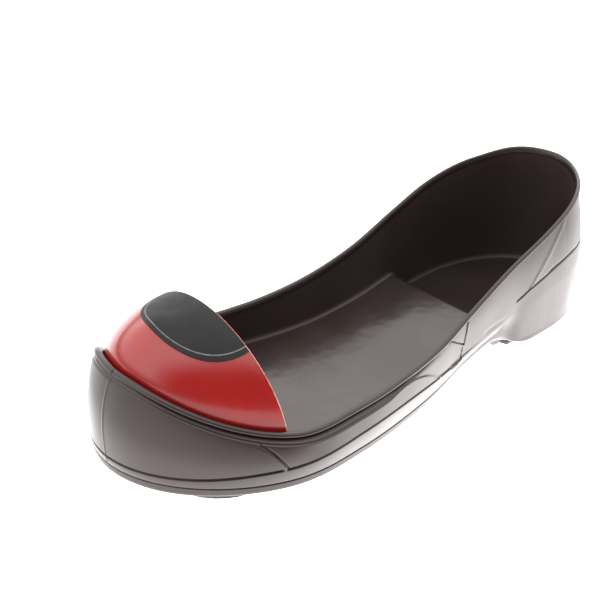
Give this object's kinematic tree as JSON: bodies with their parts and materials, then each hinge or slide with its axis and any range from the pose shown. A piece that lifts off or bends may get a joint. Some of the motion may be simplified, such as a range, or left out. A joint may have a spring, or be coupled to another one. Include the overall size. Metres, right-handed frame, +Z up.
{
  "type": "steel toe overshoe",
  "caption": "Low black moulded overshoe that slips over a left work shoe, with a domed red steel cap standing inside its open toe.",
  "frame": {"origin": "on the floor, under the middle of the overall length and width", "axes": "+X from heel to toe, +Y to the wearer's left (the outer side of this left shoe), +Z up from the floor"},
  "size_m": [0.315, 0.12, 0.0766],
  "materials": {
    "body": "semi-gloss moulded PVC",
    "sole": "satin moulded PVC",
    "cap": "gloss red enamel on pressed steel",
    "label": "blank satin film"
  },
  "bodies": {
    "root": {"upper": "body", "outsole": "sole", "toe_cap": "cap", "toe_label": "label"}
  },
  "joints": []
}
